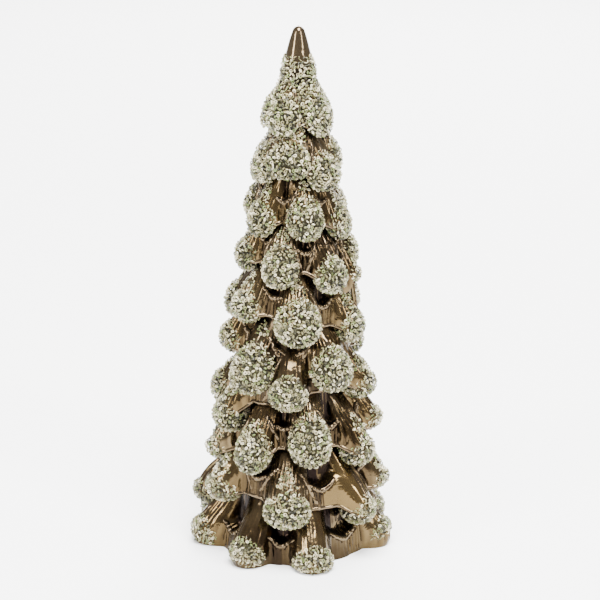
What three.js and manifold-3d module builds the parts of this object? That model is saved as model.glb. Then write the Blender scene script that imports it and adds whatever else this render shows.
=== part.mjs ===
// A tabletop tree of mould-blown, silvered brown glass.
// Crusts of small glass seed beads are glued on the tips of its boughs.
// Millimetres, +Z up. The origin lies on the tree's axis, on the surface that the foot stands on.
// A bearing of 0 degrees faces the front, which is -Y, and bearings grow towards +X.
import * as THREE from 'three';
import { mergeVertices } from 'three/addons/utils/BufferGeometryUtils.js';
import Module from 'manifold-3d';

const wasm = await Module();
wasm.setup();
const weldDistance = 1e-4;

// Trunk and spire
const treeHeight = 270;
const spireLength = 15;
const spireRadius = 6.4;
const spireTipRadius = 1.6;
const spireBelly = 0.5;
const footTrunkRadius = 33;
const trunkFullness = 0.9;
const trunkSides = 28;
const trunkRows = 6;

// Blown wall, and the mouth that is left open in the foot
const glassWall = 2.2;
const mouthRadius = 27;

// Boughs: reach past the trunk and length along it, at the foot and at the crown, and their shape
const footBoughReach = 20;
const crownBoughReach = 5;
const boughReachFall = 1.5;
const footBoughLength = 40;
const crownBoughLength = 26;
const boughTopShare = 0.9;
const boughLipRise = 4;
const boughHollowRise = 3;
const boughRoot = 1.5;
const boughCoreShare = 0.5;
const boughFullest = 0.86;
const boughSwellPower = 1.6;
const boughRoundPower = 0.85;
const boughColumns = [-1, -0.9, -0.45, 0, 0.45, 0.9, 1];
const hollowColumns = [-0.45, 0, 0.45];
const leastHollowReach = 13;

// A bough's nose is wider than its crust. On both sides a flatter skirt runs on to the next bough of the
// tier: how far it stands out as a share of the reach, its height above the lip, the depth of the step
// at its top, how far it runs into the next one, and the least that it shows beside the nose
const noseMargin = 5.5;
const skirtShare = 0.36;
const skirtHeight = 16;
const skirtStep = 2;
const skirtOverlap = 1.2;
const leastSkirt = 1.5;

// Bead crusts: bulge over the glass, share of a bough's reach that they cover, droop below its lip,
// taper, and clearance to what they lie on
const crustBulge = 2.8;
const crustGrip = 0.45;
const crustOverhang = 3.4;
const crustTaper = 0.26;
const crustGap = 0.3;
const crustUnderfill = 3;
const crustSlopeStep = 0.1;
const crustSides = 8;
const crustRings = 6;

// The sleeve of crust under the spire: its length, and its thickness over the trunk at shares of that length
const sleeveLength = 25;
const sleeveProfile = [[0, 5.4], [0.2, 5], [0.4, 3.2], [0.55, 2], [0.9, 2.1], [1, 1]];
const sleeveSides = 16;

// Tiers of boughs, from the foot to the crown, at an even pitch
const firstTierHeight = 12;
const crownDrop = 40;

// Each bough: its bearing in degrees, its lift above its tier in tier pitches,
// and the width and height of its crust
const capTiers = [
  [
    [-77, -0.1, 20, 21], [-31, -0.05, 20, 20], [14, -0.15, 22, 21], [76, 0, 18, 18],
    [116, -0.05, 20, 21], [155, 0, 21, 20], [-165, -0.1, 20, 21], [-116, 0, 21, 22],
  ],
  [
    [-90, -0.45, 15, 18], [-59, 0.06, 19, 19], [-4, -0.03, 25, 24], [53, -0.33, 16, 20],
    [78, 0.05, 14, 17], [122, -0.1, 21, 23], [167, 0.05, 22, 23], [-133, -0.05, 21, 22],
  ],
  [
    [-68, -0.2, 14, 16], [-32, 0.27, 20, 33], [13, 0.5, 23, 33], [58, -0.04, 17, 21],
    [80, 0.38, 14, 17], [130, -0.05, 21, 24], [177, 0.1, 21, 25], [-125, 0, 20, 24],
  ],
  [
    [-63, -0.33, 20, 22], [-5, 0.4, 21, 22], [75, 0.2, 17, 18], [118, 0.05, 22, 24],
    [163, -0.1, 22, 25], [-150, 0.1, 22, 25], [-106, -0.1, 21, 23],
  ],
  [
    [-77, 0.22, 17, 20], [-41, -0.1, 26, 34], [35, -0.08, 24, 29], [125, 0, 22, 26],
    [175, -0.1, 22, 26], [-128, 0, 22, 26],
  ],
  [
    [-58, 0, 20, 20], [3, -0.08, 25, 30], [66, -0.38, 18, 22], [82, 0.48, 13, 13],
    [122, -0.05, 21, 25], [170, 0.05, 21, 25], [-148, -0.05, 21, 25], [-103, -0.1, 20, 23],
  ],
  [
    [-74, 0.02, 18, 20], [-18, 0.04, 20, 28], [42, -0.22, 20, 23], [98, 0.05, 19, 23],
    [155, -0.1, 20, 24], [-135, 0, 20, 24],
  ],
  [
    [-52, -0.12, 19, 23], [12, 0, 20, 28], [71, -0.22, 19, 23], [122, 0, 19, 24],
    [178, -0.1, 19, 24], [-112, 0.05, 19, 24],
  ],
];
const ringTier = [
  [-72, -0.13, 21, 21], [-15, 0.1, 24, 23], [48, -0.16, 23, 23], [100, 0.05, 20, 22],
  [148, -0.05, 20, 22], [-167, 0.05, 20, 22], [-120, -0.05, 20, 22],
];
const crownTier = [
  [-32, 0, 20, 26], [50, -0.05, 19, 25], [120, 0, 18, 25], [-170, 0, 18, 25], [-102, 0, 18, 25],
];

const tiers = [...capTiers, ringTier, crownTier];
const spireFoot = treeHeight - spireLength;
const crownHeight = treeHeight - crownDrop;
const tierPitch = (crownHeight - firstTierHeight) / (tiers.length - 1);
const ringHeight = crownHeight - tierPitch;

const mix = THREE.MathUtils.lerp;

function trunkRadius(height) {
  const left = THREE.MathUtils.clamp(1 - height / spireFoot, 0, 1);
  return spireRadius + (footTrunkRadius - spireRadius) * left ** trunkFullness;
}

// A point given by its bearing in radians, its distance from the axis and its height
function place(bearing, radius, height) {
  return new THREE.Vector3(radius * Math.sin(bearing), -radius * Math.cos(bearing), height);
}

function toSolid(geometry) {
  const bare = geometry.clone();
  bare.deleteAttribute('normal');
  bare.deleteAttribute('uv');
  const merged = mergeVertices(bare, weldDistance);
  return new wasm.Manifold(new wasm.Mesh({
    numProp: 3,
    vertProperties: new Float32Array(merged.attributes.position.array),
    triVerts: new Uint32Array(merged.index.array),
  }));
}

function toGeometry(solid) {
  const mesh = solid.getMesh();
  const geometry = new THREE.BufferGeometry();
  geometry.setAttribute('position', new THREE.BufferAttribute(mesh.vertProperties, 3));
  geometry.setIndex(new THREE.BufferAttribute(mesh.triVerts, 1));
  geometry.computeVertexNormals();
  return geometry;
}

function join(solids) {
  return solids.reduce((whole, solid) => whole.add(solid));
}

// A closed solid of revolution round the tree's axis, from [radius, height] points listed upwards
function revolve(outline, sides) {
  const profile = outline.map(([radius, height]) => new THREE.Vector2(radius, height));
  return toSolid(new THREE.LatheGeometry(profile, sides).rotateX(Math.PI / 2));
}

// A round slab between two heights
function slab(radius, low, high) {
  return revolve([[0, low], [radius, low], [radius, high], [0, high]], trunkSides);
}

// A closed skin over rings of points, from the highest to the lowest, each ring counterclockwise from above
function loft(top, rings, bottom) {
  const count = rings[0].length;
  const points = [top, ...rings.flat(), bottom];
  const last = points.length - 1;
  const faces = [];
  for (let side = 0; side < count; side += 1) {
    const next = (side + 1) % count;
    faces.push(0, 1 + side, 1 + next);
    for (let ring = 0; ring < rings.length - 1; ring += 1) {
      const upper = 1 + ring * count;
      const lower = upper + count;
      faces.push(upper + side, lower + side, lower + next);
      faces.push(upper + side, lower + next, upper + next);
    }
    faces.push(last, last - count + next, last - count + side);
  }
  const geometry = new THREE.BufferGeometry().setFromPoints(points);
  geometry.setIndex(faces);
  return toSolid(geometry);
}

// The turn from a bough to the nearest one beside it in its tier, in radians. The side is -1 or 1.
function turnToNext(rows, bearing, side) {
  const turns = rows.map(([other]) => THREE.MathUtils.euclideanModulo((other - bearing) * side, 360));
  return THREE.MathUtils.degToRad(Math.min(...turns.filter((turn) => turn > 0)));
}

// The sizes of one bough, worked out from its row in the table
function boughOf([bearing, lift, crustWidth, crustHeight], tier, rows) {
  const centre = firstTierHeight + (tier + lift) * tierPitch;
  const onFoot = tier === 0;
  const lip = onFoot ? 0 : centre - crustHeight / 2 + crustOverhang;
  const share = lip / crownHeight;
  const reach = mix(footBoughReach, crownBoughReach, share ** boughReachFall);
  const tipRadius = trunkRadius(lip) + reach;
  const noseHalf = crustWidth / 2 + noseMargin;
  const skirtHalf = (side) => Math.max(
    turnToNext(rows, bearing, side) / 2 * tipRadius + skirtOverlap,
    noseHalf + leastSkirt,
  );
  return {
    bearing: THREE.MathUtils.degToRad(bearing),
    centre,
    lip,
    onFoot,
    crustWidth,
    crustHeight,
    reach,
    tipRadius,
    noseHalf,
    skirtHalves: [skirtHalf(-1), skirtHalf(1)],
    length: mix(footBoughLength, crownBoughLength, share),
  };
}

const boughs = tiers.map((rows, tier) => rows.map((row) => boughOf(row, tier, rows)));
const allBoughs = boughs.flat();

// Distance of a bough's skin from the axis, down its length (0 to 1 at its lip) and across it in shares
// of its nose. The nose swells to its fullest a little above the lip. The skirt starts lower down, with
// a step that closes the pocket above it.
function boughRadius(bough, down, across, height, onSkirt) {
  const swell = Math.sin((down / boughFullest) ** boughSwellPower * Math.PI / 2);
  const nose = bough.reach * swell * Math.max(0, 1 - across ** 2) ** boughRoundPower;
  const skirt = onSkirt ? bough.reach * skirtShare : -boughRoot;
  return trunkRadius(height) + Math.max(nose, skirt);
}

// One bough: a nose on a skirt that droops to a lip, over a hollow that rises inwards.
// It is grown or shrunk all round by the given growth.
function boughSolid(bough, growth, hollowRise, columns) {
  const lip = bough.onFoot && growth > 0 ? 0 : bough.lip - growth;
  const length = bough.lip + bough.length + growth - lip;
  const rise = bough.onFoot ? 0 : boughLipRise;
  const inside = (height, turn = 0) => (
    place(bough.bearing + turn, trunkRadius(height) * boughCoreShare, height));
  const skirtTop = skirtHeight + 2 * growth;
  const ringsAbove = [skirtTop + skirtStep / 2, skirtTop - skirtStep / 2, 0];
  const rings = ringsAbove.map((above) => {
    const onSkirt = above < skirtTop;
    const down = 1 - above / length;
    const spread = mix(boughTopShare, 1, down);
    const turnTo = (column) => {
      const skirtHalf = bough.skirtHalves[column < 0 ? 0 : 1];
      const onEdge = Math.abs(column) === 1;
      const offset = onEdge ? Math.sign(column) * (skirtHalf + growth) : column * (bough.noseHalf + growth);
      return offset * spread / bough.tipRadius;
    };
    const ring = columns.map((column) => {
      const height = lip + rise * column ** 2 * down + length * (1 - down);
      const radius = boughRadius(bough, down, column, height, onSkirt) + growth;
      return place(bough.bearing + turnTo(column), radius, height);
    });
    const ringHeight = lip + length * (1 - down);
    return [...ring, inside(ringHeight, turnTo(columns.at(-1))), inside(ringHeight, turnTo(columns[0]))];
  });
  return loft(inside(lip + length), rings, inside(lip + (bough.onFoot ? 0 : hollowRise)));
}

// The trunk with its spire, closed and full, with its skin grown by the given amount
function trunkSolid(growth) {
  const outline = [[0, 0]];
  for (let row = 0; row <= trunkRows; row += 1) {
    const height = spireFoot * row / trunkRows;
    outline.push([trunkRadius(height) + growth, height]);
  }
  const shoulder = treeHeight - spireTipRadius;
  outline.push([(spireRadius + spireTipRadius) / 2 + spireBelly + growth, (spireFoot + shoulder) / 2]);
  outline.push([spireTipRadius + growth, shoulder]);
  outline.push([spireTipRadius / 2 + growth, treeHeight - spireTipRadius / 4]);
  outline.push([0, treeHeight + growth]);
  return revolve(outline, trunkSides);
}

// The space inside the trunk, from the foot's plate up into the spire
function trunkHollow() {
  const outline = [[0, glassWall]];
  for (let row = 0; row <= trunkRows; row += 2) {
    const height = mix(glassWall, spireFoot, row / trunkRows);
    outline.push([trunkRadius(height) - glassWall, height]);
  }
  outline.push([0, treeHeight - spireLength / 2]);
  return revolve(outline, trunkSides / 2);
}

// All boughs and the trunk as one full solid
function fullTree(growth, hollowRise) {
  const scales = allBoughs.map((bough) => boughSolid(bough, growth, hollowRise, boughColumns));
  return join([trunkSolid(growth), ...scales]);
}

// Fills the small spaces that are shut in where noses and skirts meet
function fillShutSpaces(solid) {
  return join(solid.decompose().filter((shell) => shell.volume() > 0));
}

// The glass: one blown shell, hollow up into its larger boughs, with a flat foot turned in round the mouth
function glassBody() {
  const hollowBoughs = allBoughs.filter((bough) => bough.reach > leastHollowReach);
  const hollows = hollowBoughs.map((bough) => (
    boughSolid(bough, -glassWall, boughHollowRise, hollowColumns)));
  const mouth = slab(mouthRadius, -glassWall, 2 * glassWall);
  const space = join([trunkHollow(), ...hollows, mouth]);
  return fillShutSpaces(fullTree(0, boughHollowRise).subtract(space));
}

// The rounded mass that a crust is cut from: an egg sunk in the bough's tip, pole along the skin's normal
function crustMass(bough, growth) {
  const down = 1 - (bough.centre - bough.lip) / bough.length;
  const above = down - crustSlopeStep;
  const below = down + crustSlopeStep;
  const skin = (share) => boughRadius(bough, share, 0, bough.lip + bough.length * (1 - share), true);
  const slope = Math.atan2(skin(below) - skin(above), (below - above) * bough.length);
  const geometry = new THREE.SphereGeometry(1, crustSides, crustRings);
  const position = geometry.attributes.position;
  for (let corner = 0; corner < position.count; corner += 1) {
    position.setX(corner, position.getX(corner) * (1 - crustTaper * position.getZ(corner)));
  }
  const depth = bough.reach * crustGrip;
  geometry.scale(bough.crustWidth / 2 + growth, crustBulge + depth + growth, bough.crustHeight / 2 + growth);
  geometry.translate(0, -depth, 0);
  geometry.rotateZ(Math.PI);
  geometry.rotateX(-slope);
  geometry.translate(0, -skin(down), bough.centre);
  geometry.rotateZ(bough.bearing);
  return toSolid(geometry);
}

// The sleeve below the spire follows the trunk, plump round the crown and slim above it
function sleeveSolid() {
  const low = spireFoot - sleeveLength;
  const outline = sleeveProfile.map(([share, thickness]) => {
    const height = mix(low, spireFoot, share);
    return [trunkRadius(height) + thickness, height];
  });
  return revolve([[0, low], ...outline, [0, spireFoot]], sleeveSides);
}

const group = new THREE.Group();

function addPiece(name, solid, material) {
  const mesh = new THREE.Mesh(toGeometry(solid), material);
  mesh.name = name;
  group.add(mesh);
}

function bronzeGlass() {
  return new THREE.MeshStandardMaterial({ color: 0x6b5644, roughness: 0.12, metalness: 0.85 });
}

function beadGlass() {
  return new THREE.MeshStandardMaterial({ color: 0xb3ae94, roughness: 0.3, metalness: 0.4 });
}

addPiece('glass_body', glassBody(), bronzeGlass());

// Each crust lies on the glass, stands clear of the floor and makes way for the crusts placed before it.
// The hollows under the boughs count as full here, so that no crust reaches into them.
const keepOut = fullTree(crustGap, -crustUnderfill);
const floor = slab(treeHeight, -treeHeight, crustGap);
const placed = [];

function makeWay(crust, low) {
  const near = placed.filter((other) => other.centre + other.crustHeight > low);
  return near.reduce((left, other) => left.subtract(crustMass(other, crustGap)), crust.subtract(keepOut));
}

boughs.slice(0, capTiers.length).forEach((tier, level) => {
  tier.forEach((bough, index) => {
    const crust = makeWay(crustMass(bough, 0).subtract(floor), bough.centre - bough.crustHeight / 2);
    addPiece(`bead_cap_${level + 1}_${index + 1}`, crust, beadGlass());
    placed.push(bough);
  });
});

// Higher up the crusts run together: a ring of them, then the crown's lobes on their sleeve
const [ringBoughs, crownBoughs] = boughs.slice(capTiers.length);
const ring = join(ringBoughs.map((bough) => crustMass(bough, 0)));
addPiece('bead_ring', makeWay(ring, ringHeight - tierPitch), beadGlass());
placed.push(...ringBoughs);

const crown = join([sleeveSolid(), ...crownBoughs.map((bough) => crustMass(bough, 0))]);
addPiece('bead_crown', makeWay(crown, crownHeight - tierPitch), beadGlass());

export default group;
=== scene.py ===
import math
import random

import bpy
import numpy as np
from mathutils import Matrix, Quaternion, Vector
from mathutils.bvhtree import BVHTree


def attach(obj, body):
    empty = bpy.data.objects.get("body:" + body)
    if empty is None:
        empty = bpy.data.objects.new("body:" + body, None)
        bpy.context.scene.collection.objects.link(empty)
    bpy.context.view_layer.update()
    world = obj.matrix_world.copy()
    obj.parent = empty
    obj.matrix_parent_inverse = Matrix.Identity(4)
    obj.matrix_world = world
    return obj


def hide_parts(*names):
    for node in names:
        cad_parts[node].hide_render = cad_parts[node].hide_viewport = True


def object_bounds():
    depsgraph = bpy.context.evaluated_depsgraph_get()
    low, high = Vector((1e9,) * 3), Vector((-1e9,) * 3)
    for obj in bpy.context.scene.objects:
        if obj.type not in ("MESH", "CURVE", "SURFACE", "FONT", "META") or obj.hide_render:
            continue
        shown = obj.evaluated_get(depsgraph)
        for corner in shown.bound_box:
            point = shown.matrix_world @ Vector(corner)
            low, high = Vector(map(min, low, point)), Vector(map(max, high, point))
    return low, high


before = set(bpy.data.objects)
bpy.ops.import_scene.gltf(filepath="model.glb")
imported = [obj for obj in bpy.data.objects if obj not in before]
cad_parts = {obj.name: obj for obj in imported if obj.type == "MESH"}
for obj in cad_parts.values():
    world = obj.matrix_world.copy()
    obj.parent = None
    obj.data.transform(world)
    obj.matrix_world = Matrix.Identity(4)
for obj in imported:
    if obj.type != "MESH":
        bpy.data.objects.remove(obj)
cad_low, cad_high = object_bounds()
bpy.ops.object.select_all(action="DESELECT")

# The camera stands a good metre in front of the tree and looks down on it a little. The photograph
# leans by about half a degree, which the camera's roll gives.
eye = Vector((0.0, -1.060, 0.495))
aim = Vector((0.0, 0.0, 0.135))
frame_size = 600
centre_column = 295.4
centre_row = 288.3
lean = math.radians(0.72)
bpy.ops.object.camera_add(location=eye)
camera = bpy.context.object
level = (aim - eye).to_track_quat("-Z", "Y")
camera.rotation_euler = (level @ Quaternion((0, 0, 1), lean)).to_euler()
camera.data.lens = 133
camera.data.sensor_width = 36
camera.data.shift_x = (frame_size / 2 - centre_column) / frame_size
camera.data.shift_y = (centre_row - frame_size / 2) / frame_size
bpy.context.scene.camera = camera

# Plain studio: a wide pale floor, a dim even room, and soft lamps above, in front and at the sides.
bpy.ops.mesh.primitive_plane_add(size=16)
floor = bpy.context.object
floor.name = "studio_floor"
floor_paint = bpy.data.materials.new("pale_floor")
floor_paint.use_nodes = True
floor_shader = floor_paint.node_tree.nodes["Principled BSDF"]
floor_shader.inputs["Base Color"].default_value = (0.86, 0.86, 0.86, 1)
floor_shader.inputs["Roughness"].default_value = 0.9
floor_shader.inputs["Specular IOR Level"].default_value = 0.1
floor.data.materials.append(floor_paint)

room = bpy.data.worlds.new("room")
room.use_nodes = True
room.node_tree.nodes["Background"].inputs["Color"].default_value = (1.0, 0.99, 0.97, 1)
room.node_tree.nodes["Background"].inputs["Strength"].default_value = 1.0
bpy.context.scene.world = room


def soft_lamp(name, place, width, height, power):
    bpy.ops.object.light_add(type="AREA", location=place)
    lamp = bpy.context.object
    lamp.name = name
    lamp.data.shape = "RECTANGLE"
    lamp.data.size = width
    lamp.data.size_y = height
    lamp.data.energy = power
    lamp.rotation_euler = (aim - Vector(place)).to_track_quat("-Z", "Y").to_euler()


soft_lamp("lamp_above", (0.1, -0.45, 1.6), 0.9, 0.9, 150)
soft_lamp("lamp_left", (-1.2, -0.9, 0.7), 0.25, 0.8, 30)
soft_lamp("lamp_right", (1.1, -1.0, 0.9), 0.2, 0.7, 21)
soft_lamp("lamp_behind", (0.2, 1.5, 1.1), 1.6, 1.0, 130)

# Where the boughs are: each bead crust of the frame marks the tip of one bough. Eight corners lie in a
# flat ring round its tip, and give the crust's slope, its width and its height.
spire_length = 0.015
spire_radius = 0.0064
spire_tip_radius = 0.0016
trunk_foot_radius = 0.033
trunk_fullness = 0.9
spire_foot = cad_high[2] - spire_length
crust_bulge = 0.0028
crust_overhang = 0.0034
crown_height = cad_high[2] - 0.040
foot_length = 0.040
crown_length = 0.026
fullest = 0.86
swell_power = 1.6
tip_facets = 8
flat_enough = 0.005
nose_margin = 0.0055
skirt_overlap = 0.0012
least_skirt = 0.0015
lip_rise = 0.0045


def trunk_radius(height):
    left = np.clip(1 - np.asarray(height) / spire_foot, 0, 1)
    return spire_radius + (trunk_foot_radius - spire_radius) * left ** trunk_fullness


def spot(bearing, radius, height):
    return np.stack(np.broadcast_arrays(radius * np.sin(bearing), -radius * np.cos(bearing), height), axis=-1)


def swelling(down):
    return np.sin(np.clip(down / fullest, 0, 1.3) ** swell_power * math.pi / 2)


def bough_at(tip, ring):
    """One bough, from the tip of its crust and the eight corners round that."""
    bearing = math.atan2(tip[0], -tip[1])
    outward = np.array([math.sin(bearing), -math.cos(bearing), 0])
    sideways = np.array([math.cos(bearing), math.sin(bearing), 0])
    top, bottom = ring[ring[:, 2].argmax()], ring[ring[:, 2].argmin()]
    slope = math.atan2((bottom - top) @ outward, top[2] - bottom[2])
    normal = outward * math.cos(slope) + np.array([0, 0, math.sin(slope)])
    skin = tip - normal * crust_bulge
    centre = float(skin[2])
    width = 2 * float(np.ptp(ring @ sideways))
    height = 2 * float(np.linalg.norm(top - bottom))
    foot = centre < 0.016
    lip = 0.0 if foot else centre - height / 2 + crust_overhang
    length = foot_length + (crown_length - foot_length) * lip / crown_height
    down = 1 - (centre - lip) / length
    reach = (float(skin @ outward) - float(trunk_radius(centre))) / float(swelling(down))
    return {
        "bearing": bearing,
        "slope": slope,
        "skin": skin,
        "lip": lip,
        "length": length,
        "down": down,
        "reach": reach,
        "tip_radius": float(trunk_radius(lip)) + reach,
        "width": width,
        "height": height,
        "nose": width / 2 + nose_margin,
        "foot": foot,
    }


def boughs_under(node):
    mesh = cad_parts[node].data
    corners = np.empty(len(mesh.vertices) * 3)
    mesh.vertices.foreach_get("co", corners)
    used = np.empty(len(mesh.loops), dtype=int)
    mesh.loops.foreach_get("vertex_index", used)
    places, where = np.unique(np.round(corners.reshape(-1, 3), 6), axis=0, return_inverse=True)
    facets = where.ravel()[used].reshape(-1, 3)
    meeting = np.bincount(facets.ravel(), minlength=len(places))
    found = []
    for tip in np.flatnonzero(meeting == tip_facets):
        ring = places[np.setdiff1d(facets[(facets == tip).any(axis=1)], [tip])]
        middle = ring.mean(axis=0)
        spread = np.linalg.svd(ring - middle)[1]
        proud = (places[tip] - middle) @ (middle * [1, 1, 0])
        if len(ring) == tip_facets and spread[2] < flat_enough * spread[0] and proud > 0:
            found.append(bough_at(places[tip], ring))
    return found


boughs = {node: boughs_under(node) for node in sorted(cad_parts) if node.startswith("bead_")}
all_boughs = [bough for group in boughs.values() for bough in group]

# boughs of one tier stand side by side, and the skirt of each runs on to the next
tiers = {}
for node, group in boughs.items():
    tiers.setdefault(node.rsplit("_", 1)[0] if "cap" in node else node, []).extend(group)
for tier in tiers.values():
    tier.sort(key=lambda bough: bough["bearing"])
    for number, bough in enumerate(tier):
        beside = (tier[number - 1], tier[(number + 1) % len(tier)])
        bough["next"] = beside[1]
        bough["skirts"], bough["joins"], bough["meets"] = [], [], []
        for side, other in zip((-1, 1), beside):
            gap = (other["bearing"] - bough["bearing"]) * side % math.tau
            half = gap / 2 * bough["tip_radius"]
            skirt = max(half + skirt_overlap, bough["nose"] + least_skirt)
            bough["skirts"].append(skirt)
            bough["meets"].append(half / skirt)
            bough["joins"].append((bough["lip"] + other["lip"]) / 2 + lip_rise)

# The glass body: one bubble of glass blown into a mould, silvered inside and lacquered brown. A scale-like
# bough swells out at each tip. Each scale starts as a ball and is drawn out to its shape.
front_columns = 60
back_columns = 4
front_rows = 26
under_rows = 3
top_share = 0.9
under_rise = 0.007
skirt_share = 0.36
skirt_top = 0.021
skirt_sag = 0.009
skirt_step = 0.003
skirt_shade = 0.66
pleat_pitch = 0.0030
pleat_depth = 0.0009
glass_wall = 0.0022
mouth_radius = 0.027
core_share = 0.5
dice = random.Random(7)


def ball(name, columns, rows):
    """A closed ball, and the row from its top and the column of each of its corners."""
    bpy.ops.mesh.primitive_uv_sphere_add(segments=columns, ring_count=rows + 1, radius=1)
    made = bpy.context.object
    made.name = name
    corners = np.empty(len(made.data.vertices) * 3)
    made.data.vertices.foreach_get("co", corners)
    corners = corners.reshape(-1, 3)
    row = np.rint(np.arccos(np.clip(corners[:, 2], -1, 1)) / math.pi * (rows + 1)).astype(int)
    column = np.rint(np.arctan2(corners[:, 1], corners[:, 0]) / math.tau * columns).astype(int) % columns
    return made, row, column


def settle(made, places):
    made.data.vertices.foreach_set("co", places.astype(np.float32).ravel())
    made.data.update()
    bpy.ops.object.shade_smooth()


def mark(made, **marks):
    """Keeps marks on the corners for the material: the painted shade of hollows and undersides, how much of a ridge,
    how golden, how deep a groove.
    """
    for name in ("pocket", "ridge", "gold", "groove"):
        values = np.broadcast_to(marks.get(name, 0.0), len(made.data.vertices)).astype(np.float32)
        made.data.attributes.new(name, "FLOAT", "POINT").data.foreach_set("value", values)


def ease(share):
    share = np.clip(share, 0, 1)
    return share * share * (3 - 2 * share)


def skirt_edge(share):
    """Height of a skirt's top over the lip: high beside the nose, and sagging towards the next bough."""
    return skirt_top - skirt_sag * ease(share * 1.15 - 0.15)


def lip_line(bough, share, offset):
    """Height of the lip: it droops under the nose and arches up to where it joins the next bough's."""
    joins = np.where(share < 0, bough["joins"][0], bough["joins"][1])
    rise = ease(np.abs(offset) / bough["nose"] / 1.15)
    return np.zeros_like(offset) if bough["foot"] else bough["lip"] + (joins - bough["lip"]) * rise


def scale_skin(bough, share, down):
    """Places on the outside of a scale: a round nose on a flatter skirt, with pleats and a hollow above, and the
    painted shade of each place.
    """
    offset = share * np.where(share < 0, bough["skirts"][0], bough["skirts"][1])
    across = np.clip(np.abs(offset) / bough["nose"], 0, 1)
    line = lip_line(bough, share, offset)
    above = (bough["lip"] + bough["length"] - line) * (1 - down)
    height = line + above
    nose = swelling(down) * (1 - across ** 2) ** 0.85
    begun = ease((skirt_edge(np.abs(share)) - above) / skirt_step)
    panel = skirt_share * begun * (0.85 + 0.15 * down)
    swell = bough["reach"] * (nose ** 4 + panel ** 4) ** 0.25
    wander = 0.3 * np.sin(bough["start"] + down * 6) + offset * 25 * down
    wave = np.sin(math.tau * (offset / pleat_pitch + wander) + bough["start"])
    groove = (0.5 + 0.5 * wave) ** 2.5 * bough["pleat"] * ease(down * 4 - 0.8) * ease((1 - down) * 10)
    groove = groove * ease(swell / 0.003) * ease((1 - np.abs(share)) * 8)
    folds = 0.0007 * np.sin(offset / 0.006 + bough["start"]) * np.cos(down * 3 + bough["start"]) * ease(down * 3 - 1)
    radius = trunk_radius(height) + swell - pleat_depth * groove + folds * ease((1 - np.abs(share)) * 5)
    # painted shade: darkest in the hollow where the scale barely leaves the trunk, with a lighter painted shade on
    # the skirts beside the nose, less on golden boughs
    pocket = 1 - ease(swell / (0.35 * bough["reach"] * skirt_share + 0.002))
    pocket = np.maximum(pocket, skirt_shade * (1 - 0.7 * bough["gold"]) * (1 - ease(nose / 0.55)))
    spread = top_share + (1 - top_share) * down
    turn = bough["bearing"] + offset * spread / bough["tip_radius"]
    return turn, radius, height, pocket, groove


def blown_scale(bough, number):
    made, row, column = ball(f"scale_{number}", front_columns + back_columns, front_rows + under_rows)
    in_front = column < front_columns
    behind_share = 1 - 2 * (column - front_columns + 1) / (back_columns + 1)
    share = np.where(in_front, -1 + 2 * column / (front_columns - 1), behind_share)
    down = np.clip(row / front_rows, 0, 1)
    turn, radius, height, pocket, groove = scale_skin(bough, share, down)
    core = trunk_radius(height) * core_share
    under = np.clip((row - front_rows) / (under_rows + 1), 0, 1)
    radius = radius + (core - radius) * under ** 1.5
    height = height + (0 if bough["foot"] else under_rise) * np.sin(under * math.pi / 2) ** 1.5
    top = row == 0
    bottom = row == front_rows + under_rows + 1
    radius = np.where(~in_front | top | bottom, core, radius)
    turn = np.where(top | bottom, bough["bearing"], turn)
    height = np.where(top, bough["lip"] + bough["length"], height)
    settle(made, spot(turn, radius, height))
    # the underside of each scale is painted in full shade
    mark(made, pocket=np.where(under > 0, 1.0, pocket), gold=bough["gold"], groove=groove)
    return made


def sleek_ridge(name, path, thickness):
    """A thin rounded ridge along a path of places, thinning out at both ends."""
    sides, rows = 8, len(path)
    made, row, column = ball(name, sides, rows)
    ahead = np.gradient(path, axis=0)
    ahead /= np.linalg.norm(ahead, axis=1)[:, None]
    outward = path * np.array([1, 1, 0])
    outward /= np.linalg.norm(outward, axis=1)[:, None]
    sideways = np.cross(ahead, outward)
    sideways /= np.linalg.norm(sideways, axis=1)[:, None]
    outward = np.cross(sideways, ahead)
    at = np.clip(row - 1, 0, rows - 1)
    angle = math.tau * column / sides
    size = thickness / 2 * np.sqrt(np.clip(np.sin(math.pi * (0.06 + 0.88 * at / (rows - 1))), 0, 1))
    size = np.where((row == 0) | (row == rows + 1), 0, size)
    # the column's turn is against the path, so that the faces point outwards
    places = path[at] + (np.cos(angle) * size)[:, None] * sideways[at] - (np.sin(angle) * size)[:, None] * outward[at]
    settle(made, places)
    mark(made, ridge=1.0)
    return made


for bough in all_boughs:
    bough["start"] = dice.uniform(0, math.tau)
    bough["pleat"] = dice.choice([0.4, 0.8, 1.0, 1.0])
    bough["gold"] = dice.choice([0.0, 0.2, 0.35, 0.6])
# the broad pane at the front right stayed smooth and golden
boughs["bead_cap_2_4"][0].update(pleat=0.0, gold=1.0)

bpy.ops.object.select_all(action="DESELECT")
trunk_rows = 44
tip_rows = 14
trunk, row, column = ball("glass_tree", 72, trunk_rows)
along = np.clip(row / tip_rows, 0, 1)
fall = np.clip((row - tip_rows) / (trunk_rows - tip_rows), 0, 1)
spire_shape = (spire_tip_radius + (spire_radius - spire_tip_radius) * along ** 0.75) * np.clip(along * 9, 0, 1) ** 0.5
height = np.where(row <= tip_rows, spire_foot + spire_length * (1 - along), spire_foot * (1 - fall))
radius = np.where(row <= tip_rows, spire_shape, trunk_radius(height))
radius = np.where((row == 0) | (row == trunk_rows + 1), 0, radius)
settle(trunk, spot(math.tau * column / 72, radius, height))
# the trunk below the spire is painted in full shade; the whole trunk is marked as a ridge, so the spire is painted a
# little lighter, a painted highlight
mark(trunk, pocket=np.where(row <= tip_rows, 0.0, 1.0), gold=np.where(row <= tip_rows, 0.15, 0.0), ridge=1.0)

scales = [blown_scale(bough, number) for number, bough in enumerate(all_boughs)]
ridges = []


def path_on(bough, share, down, sunk):
    turn, radius, height, _, _ = scale_skin(bough, share, down)
    return spot(turn, radius - sunk, height)


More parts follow.
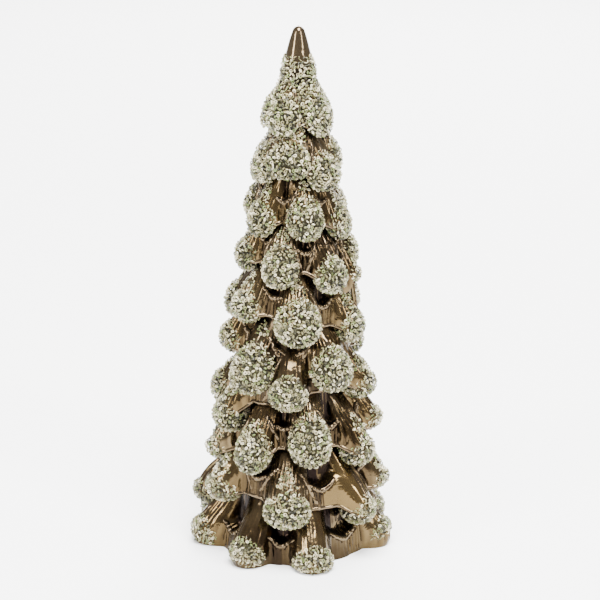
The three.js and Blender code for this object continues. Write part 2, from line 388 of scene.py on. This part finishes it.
def edge_down(bough, share, above):
    """How far down a scale a height above its lip line lies."""
    offset = share * np.where(share < 0, bough["skirts"][0], bough["skirts"][1])
    return 1 - above / (bough["lip"] + bough["length"] - lip_line(bough, share, offset))


for bough in all_boughs:
    after = bough["next"]
    share, other = np.linspace(0, bough["meets"][1], 18), -np.linspace(after["meets"][0], 0, 18)
    if not bough["foot"]:
        lip = np.concatenate([
            path_on(bough, share, np.full(18, 0.985), 0.0008),
            path_on(after, other, np.full(18, 0.985), 0.0008)[1:],
        ])
        ridges.append(sleek_ridge(f"lip_{len(ridges)}", lip, 0.0026))
    share, other = np.linspace(0.52, bough["meets"][1], 16), -np.linspace(after["meets"][0], 0.52, 16)
    top = np.concatenate([
        path_on(bough, share, edge_down(bough, share, skirt_edge(share) - 0.9 * skirt_step), 0.0010),
        path_on(after, other, edge_down(after, other, skirt_edge(-other) - 0.9 * skirt_step), 0.0010)[1:],
    ])
    ridges.append(sleek_ridge(f"skirt_top_{len(ridges)}", top, 0.0032))
    if dice.random() < 0.6:
        down = np.linspace(max(0.12, 1 - 0.026 / bough["length"]), bough["down"], 16)
        crest = path_on(bough, dice.uniform(-0.12, 0.12) * np.sin(down * 6), down, 0.0012)
        ridges.append(sleek_ridge(f"crest_{len(ridges)}", crest, 0.0034))
    for side in (-1, 1):
        if dice.random() < (0.0 if bough["foot"] else 0.35):
            step = np.linspace(0, 1, 22)
            share = side * (0.2 + (bough["meets"][side > 0] - 0.2) * step ** dice.uniform(0.7, 1.1))
            above = skirt_top * (1 - ease(step)) ** dice.uniform(0.8, 1.2) + 0.001
            rib = path_on(bough, share, edge_down(bough, share, above), 0.0012)
            ridges.append(sleek_ridge(f"rib_{len(ridges)}", rib, 0.0034))

shapes = bpy.data.collections.new("glass_shapes")
bpy.context.scene.collection.children.link(shapes)
for made in scales + ridges:
    for old in list(made.users_collection):
        old.objects.unlink(made)
    shapes.objects.link(made)
bpy.ops.object.select_all(action="DESELECT")
bpy.context.view_layer.objects.active = trunk
trunk.select_set(True)
union = trunk.modifiers.new("blown_together", "BOOLEAN")
union.operation = "UNION"
union.solver = "MANIFOLD"
union.operand_type = "COLLECTION"
union.collection = shapes
bpy.ops.object.modifier_apply(modifier=union.name)
for made in scales + ridges:
    bpy.data.objects.remove(made)

# the bubble's inside, and the mouth that is cut flat at the foot
hollow, row, column = ball("bubble_space", 48, 12)
height = glass_wall + (spire_foot - glass_wall) * (1 - np.clip(row - 1, 0, 11) / 11)
radius = np.where((row == 0) | (row == 13), 0, trunk_radius(height) - glass_wall)
height = np.where(row == 0, spire_foot + spire_length / 2, height)
settle(hollow, spot(math.tau * column / 48, radius, height))
bpy.ops.mesh.primitive_cylinder_add(vertices=72, radius=mouth_radius, depth=4 * glass_wall)
mouth = bpy.context.object
for space in (hollow, mouth):
    bpy.ops.object.select_all(action="DESELECT")
    bpy.context.view_layer.objects.active = trunk
    trunk.select_set(True)
    cut = trunk.modifiers.new("cut_out", "BOOLEAN")
    cut.operation = "DIFFERENCE"
    cut.solver = "MANIFOLD"
    cut.object = space
    bpy.ops.object.modifier_apply(modifier=cut.name)
    bpy.data.objects.remove(space)
bpy.ops.object.shade_smooth_by_angle(angle=math.radians(50))
print("GLASS", len(trunk.data.polygons))

glass = bpy.data.materials.new("silvered_brown_glass")
glass.use_nodes = True
nodes, links = glass.node_tree.nodes, glass.node_tree.links
shader = nodes["Principled BSDF"]
shader.inputs["Metallic"].default_value = 0.95
shader.inputs["IOR"].default_value = 1.5


def node(kind, **settings):
    made = nodes.new(kind)
    for name, value in settings.items():
        setattr(made, name, value)
    return made


def sums(operation, first, second=None, third=None, clamp=False):
    made = node("ShaderNodeMath", operation=operation, use_clamp=clamp)
    for socket, value in zip(made.inputs, (first, second, third)):
        if isinstance(value, (int, float)):
            socket.default_value = value
        elif value is not None:
            links.new(value, socket)
    return made.outputs[0]


def ramp_of(factor, stops):
    made = node("ShaderNodeValToRGB")
    while len(made.color_ramp.elements) < len(stops):
        made.color_ramp.elements.new(0.5)
    for element, (at, colour) in zip(made.color_ramp.elements, stops):
        element.position = at
        element.color = (*colour, 1)
    links.new(factor, made.inputs["Fac"])
    return made.outputs["Color"]


def speckle(scale, detail, rough=0.5, twist=0.0):
    made = node("ShaderNodeTexNoise")
    made.inputs["Scale"].default_value = scale
    made.inputs["Detail"].default_value = detail
    made.inputs["Roughness"].default_value = rough
    made.inputs["Distortion"].default_value = twist
    links.new(place_on.outputs["Object"], made.inputs["Vector"])
    return made.outputs["Fac"]


place_on = node("ShaderNodeTexCoord")
pocket_at = node("ShaderNodeAttribute", attribute_name="pocket").outputs["Fac"]
ridge_highlight_at = node("ShaderNodeAttribute", attribute_name="ridge").outputs["Fac"]
gold_at = node("ShaderNodeAttribute", attribute_name="gold").outputs["Fac"]
groove_shade_at = node("ShaderNodeAttribute", attribute_name="groove").outputs["Fac"]


def blend(factor, first, second):
    made = node("ShaderNodeMix", data_type="RGBA")
    for socket, value in ((made.inputs["Factor"], factor), (made.inputs["A"], first), (made.inputs["B"], second)):
        if isinstance(value, tuple):
            socket.default_value = (*value, 1)
        else:
            links.new(value, socket)
    return made.outputs["Result"]


# the lacquer varies in patches from dark brown to olive gold; painted shade darkens the hollows, the undersides and
# the pleat grooves, and a painted highlight lightens the ridges
lacquer = ramp_of(speckle(42, 3, 0.6, 0.4), [
    (0.30, (0.026, 0.0165, 0.0080)),
    (0.46, (0.050, 0.034, 0.0165)),
    (0.60, (0.082, 0.058, 0.029)),
    (0.78, (0.135, 0.100, 0.052)),
])
lacquer = blend(gold_at, lacquer, (0.110, 0.074, 0.030))
# painted highlight: the ridges are painted lighter
lacquer = blend(sums("MULTIPLY", ridge_highlight_at, 0.3), lacquer, (0.150, 0.114, 0.074))
# painted shade in the pleat grooves
lacquer = blend(sums("MULTIPLY", groove_shade_at, 0.75, clamp=True), lacquer, (0.010, 0.0055, 0.003))
# painted shade: hollows and undersides turn nearly black
lacquer = blend(sums("MULTIPLY", pocket_at, 0.97, clamp=True), lacquer, (0.0030, 0.0013, 0.0011))
links.new(lacquer, shader.inputs["Base Color"])
gloss = sums("MULTIPLY_ADD", speckle(90, 2), 0.16, 0.07)
links.new(sums("MULTIPLY_ADD", pocket_at, 0.06, gloss, clamp=True), shader.inputs["Roughness"])

# the blown skin is finely crinkled
crinkle = node("ShaderNodeBump")
crinkle.inputs["Strength"].default_value = 0.4
crinkle.inputs["Distance"].default_value = 0.0008
links.new(speckle(170, 2, 0.5, 0.8), crinkle.inputs["Height"])
links.new(crinkle.outputs["Normal"], shader.inputs["Normal"])
trunk.data.materials.clear()
trunk.data.materials.append(glass)
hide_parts("glass_body")
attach(trunk, "root")

# The crusts: small round seed beads with a hole, tumbled onto a coat of clear glue on each bough tip.
# One bead is modelled, and copies of it are strewn over the rounded mass of each crust.
bead_ring_radius = 0.00066
bead_thickness = 0.00068
bead_spacing = 0.00142
bead_depth = 0.00105
under_depth = 0.00215
glue_depth = 0.0026
floor_gap = 0.0004
crust_taper = 0.26
crust_grip = 0.45
sleeve_length = 0.025
sleeve_shares = (0, 0.2, 0.4, 0.55, 0.9, 1)
sleeve_thickness = (0.0054, 0.0050, 0.0032, 0.0020, 0.0021, 0.0010)
rng = np.random.default_rng(11)

bpy.ops.mesh.primitive_torus_add(
    major_segments=7, minor_segments=3, major_radius=bead_ring_radius, minor_radius=bead_thickness / 2)
one_bead = bpy.context.object
bead_corners = np.array([tuple(v.co) for v in one_bead.data.vertices])
bead_faces = np.array([tuple(f.vertices) for f in one_bead.data.polygons])
bpy.data.objects.remove(one_bead)

shown = BVHTree.FromObject(trunk, bpy.context.evaluated_depsgraph_get())


def add_mass(bough):
    """The rounded mass of one crust: its middle, its three axes and its half sizes."""
    outward = np.array([math.sin(bough["bearing"]), -math.cos(bough["bearing"]), 0])
    sideways = np.array([math.cos(bough["bearing"]), math.sin(bough["bearing"]), 0])
    up = np.array([0.0, 0.0, 1.0])
    depth = bough["reach"] * crust_grip
    slope = bough["slope"]
    bough["axes"] = np.stack([
        sideways,
        outward * math.cos(slope) + up * math.sin(slope),
        up * math.cos(slope) - outward * math.sin(slope),
    ])
    bough["middle"] = bough["skin"] - bough["axes"][1] * depth
    bough["sizes"] = np.array([bough["width"] / 2, crust_bulge + depth, bough["height"] / 2])


def on_mass(bough, ways, sink):
    """Places on a mass, sunk by some depth, for ways from its middle."""
    local = ways * (bough["sizes"] - sink)
    local[:, 0] *= 1 - crust_taper * ways[:, 2]
    return bough["middle"] + local @ bough["axes"]


def in_mass(bough, places, sink):
    local = (places - bough["middle"]) @ bough["axes"].T / (bough["sizes"] - sink)
    local[:, 0] /= np.clip(1 - crust_taper * local[:, 2], 0.3, 2)
    return (local ** 2).sum(axis=1) < 1


def ways_out(count):
    ways = rng.normal(size=(count, 3))
    return ways / np.linalg.norm(ways, axis=1)[:, None]


def out_of_glass(places, ways):
    """Tells which places lie outside the glass or only just under its skin."""
    clear = np.ones(len(places), dtype=bool)
    for index, (place, way) in enumerate(zip(places, ways)):
        _, normal, _, far = shown.ray_cast(Vector(place), Vector(way))
        if normal is not None and normal.dot(Vector(way)) > 0 and far > 0.0005:
            clear[index] = False
    return clear


def strew(candidates):
    """Thins out places, so that no two are nearer than the beads' spacing."""
    taken = {}
    kept = []
    cells = np.floor(candidates / bead_spacing).astype(int).tolist()
    spots = candidates.tolist()
    least = bead_spacing ** 2
    around = [(i, j, k) for i in (-1, 0, 1) for j in (-1, 0, 1) for k in (-1, 0, 1)]
    for index, (x, y, z) in enumerate(cells):
        a, b, c = spots[index]
        free = True
        for i, j, k in around:
            for p, q, r in taken.get((x + i, y + j, z + k), ()):
                if (p - a) ** 2 + (q - b) ** 2 + (r - c) ** 2 < least:
                    free = False
                    break
            if not free:
                break
        if free:
            taken.setdefault((x, y, z), []).append((a, b, c))
            kept.append(index)
    return kept


def bead_coat(name, places, outward, sunk):
    """One mesh of beads, each turned its own way, with the hole mostly outwards."""
    count = len(places)
    axis = outward * 0.6 + rng.normal(size=(count, 3)) * 0.75
    axis /= np.linalg.norm(axis, axis=1)[:, None]
    side = np.cross(axis, rng.normal(size=(count, 3)))
    side /= np.linalg.norm(side, axis=1)[:, None]
    other = np.cross(axis, side)
    sizes = rng.normal(1, 0.05, size=(count, 1, 1)).clip(0.88, 1.05)
    turned = (
        bead_corners[None, :, 0:1] * side[:, None]
        + bead_corners[None, :, 1:2] * other[:, None]
        + bead_corners[None, :, 2:3] * axis[:, None]
    ) * sizes
    corners = (places[:, None] + turned).reshape(-1, 3)
    faces = (bead_faces[None] + np.arange(count)[:, None, None] * len(bead_corners)).reshape(-1, 4)
    mesh = bpy.data.meshes.new(name)
    mesh.from_pydata(corners.tolist(), [], faces.tolist())
    tint = np.repeat(rng.uniform(size=count), len(bead_corners)).astype(np.float32)
    mesh.attributes.new("tint", "FLOAT", "POINT").data.foreach_set("value", tint)
    # how deep each bead lies, which the material paints as shade
    sunk = np.repeat(sunk, len(bead_corners)).astype(np.float32)
    mesh.attributes.new("sunk", "FLOAT", "POINT").data.foreach_set("value", sunk)
    made = bpy.data.objects.new(name, mesh)
    bpy.context.scene.collection.objects.link(made)
    return made


beads = bpy.data.materials.new("seed_beads")
beads.use_nodes = True
nodes, links = beads.node_tree.nodes, beads.node_tree.links
shader = nodes["Principled BSDF"]
shader.inputs["Metallic"].default_value = 0.2
shader.inputs["Roughness"].default_value = 0.16
shader.inputs["Coat Weight"].default_value = 0.3
shader.inputs["Coat Roughness"].default_value = 0.04
tint_at = node("ShaderNodeAttribute", attribute_name="tint").outputs["Fac"]
sunk_shade_at = node("ShaderNodeAttribute", attribute_name="sunk").outputs["Fac"]
bead_colour = ramp_of(tint_at, [
    (0.0, (0.026, 0.025, 0.010)),
    (0.20, (0.085, 0.080, 0.032)),
    (0.40, (0.260, 0.225, 0.112)),
    (0.54, (0.125, 0.160, 0.048)),
    (0.70, (0.360, 0.320, 0.180)),
    (1.0, (0.680, 0.620, 0.420)),
])
# painted shade: beads sunk deeper in the crust are painted darker
bead_colour = blend(sums("MULTIPLY", sunk_shade_at, 1.2, clamp=True), bead_colour, (0.020, 0.020, 0.010))
links.new(bead_colour, shader.inputs["Base Color"])

glue = bpy.data.materials.new("clear_glue")
glue.use_nodes = True
nodes, links = glue.node_tree.nodes, glue.node_tree.links
shader = nodes["Principled BSDF"]
shader.inputs["Roughness"].default_value = 0.9
shader.inputs["Specular IOR Level"].default_value = 0.1
place_on = node("ShaderNodeTexCoord")
# the glue is clear; its near-black colour is painted shade from the beads over it, with a little random speckle
glue_painted_shade = ramp_of(speckle(900, 2), [(0.35, (0.010, 0.008, 0.004)), (0.7, (0.026, 0.022, 0.011))])
links.new(glue_painted_shade, shader.inputs["Base Color"])


def glue_core(name, columns, places_of):
    """The coat of glue under the beads of one mass, kept off the floor."""
    core, row, column = ball(name, columns, 14)
    places = places_of(row, column)
    places[:, 2] = np.maximum(places[:, 2], floor_gap)
    settle(core, places)
    core.data.materials.clear()
    core.data.materials.append(glue)
    return core


for bough in all_boughs:
    add_mass(bough)



def offer(spots, ways, sunk, keep):
    """Adds places for beads that lie in no mass of the same crust or of one placed before it."""
    keep = keep & (spots[:, 2] > 0.0012)
    for index, other in enumerate(all_boughs):
        if np.linalg.norm(other["middle"] - spots.mean(axis=0)) < 0.06 and other is not bough:
            if other in group:
                keep = keep & ~in_mass(other, spots, bead_depth - 0.0002)
            elif index < first:
                keep = keep & ~in_mass(other, spots, 0.0)
    offered.append((spots[keep], ways[keep], sunk[keep]))


bead_total = 0
for node_name, group in boughs.items():
    first = all_boughs.index(group[0])
    cores, offered = [], []
    for number, bough in enumerate(group):
        ways = ways_out(12000)
        sunk = np.where(np.arange(12000) < 7000, 0, rng.uniform(size=12000))
        spots = on_mass(bough, ways, (bead_depth + (under_depth - bead_depth) * sunk)[:, None])
        outward = (ways / bough["sizes"]) @ bough["axes"]
        outward /= np.linalg.norm(outward, axis=1)[:, None]
        offer(spots, outward, sunk, np.ones(12000, dtype=bool))
        if rng.uniform() < 0.65 and not bough["foot"]:
            # a narrow spur of beads runs on up the crest of the bough
            along = rng.uniform(size=1600)
            half = 0.0008 + 0.0042 * (1 - along)
            share = rng.uniform(-1, 1, 1600) * half / bough["nose"]
            down = bough["down"] - (0.32 * bough["height"] + rng.uniform(0.006, 0.011) * along) / bough["length"]
            turn, radius, height, _, _ = scale_skin(bough, share, down)
            offer(spot(turn, radius + 0.0007, height), spot(turn, 1.0, 0.0), np.zeros(1600), down > 0.1)

        def round_places(row, column, bough=bough):
            turn, rise = math.tau * column / 24, math.pi * row / 15
            ways = np.stack([np.sin(rise) * np.cos(turn), np.sin(rise) * np.sin(turn), np.cos(rise)], axis=1)
            return on_mass(bough, ways, glue_depth)

        cores.append(glue_core(f"glue_{node_name}_{number}", 24, round_places))
    bough = None
    if node_name == "bead_ring":
        # between the ring and the crown the beads cling to the glass itself
        turn = rng.uniform(-2.6, 0.25, 5000)
        height = rng.uniform(0.206, 0.2235, 5000)
        start, inwards = spot(turn, 0.06, height), -spot(turn, 1.0, 0.0)
        hits = [shown.ray_cast(Vector(a), Vector(b))[:2] for a, b in zip(start, inwards)]
        spots = np.array([tuple(hit + normal * 0.0006) for hit, normal in hits])
        offer(spots, np.array([tuple(normal) for _, normal in hits]), np.zeros(5000), np.ones(5000, dtype=bool))
    if node_name == "bead_crown":
        share = rng.uniform(-0.32, 1.02, 26000)
        turn = rng.uniform(0, math.tau, 26000)
        height = spire_foot - sleeve_length * (1 - share)
        radius = trunk_radius(height) + np.interp(share, sleeve_shares, sleeve_thickness) - bead_depth
        offer(spot(turn, radius, height), spot(turn, 1.0, 0.0), np.zeros(26000), np.ones(26000, dtype=bool))

        def sleeve_places(row, column):
            share = 1 - 1.3 * np.clip(row - 1, 0, 13) / 13
            height = spire_foot - 0.0004 - sleeve_length * (1 - share)
            radius = trunk_radius(height) + np.interp(share, sleeve_shares, sleeve_thickness) - glue_depth
            radius = np.where((row == 0) | (row == 15), 0, radius)
            return spot(math.tau * column / 32, radius, height)

        cores.append(glue_core("glue_sleeve", 32, sleeve_places))
    places, ways_here, sunk_here = (np.concatenate(part) for part in zip(*offered))
    clear = out_of_glass(places, ways_here)
    places, ways_here, sunk_here = places[clear], ways_here[clear], sunk_here[clear]
    chosen = strew(places)
    places, ways_here, sunk_here = places[chosen], ways_here[chosen], sunk_here[chosen]
    places = places - ways_here * rng.uniform(0, 0.0003, size=(len(places), 1))
    bead_total += len(places)
    coat = bead_coat(node_name.replace("bead", "crust"), places, ways_here, sunk_here)
    coat.data.materials.append(beads)
    bpy.ops.object.select_all(action="DESELECT")
    for made in cores + [coat]:
        made.select_set(True)
    bpy.context.view_layer.objects.active = coat
    bpy.ops.object.join()
    bpy.ops.object.shade_smooth()
    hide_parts(node_name)
    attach(coat, "root")
print("BEADS", bead_total)
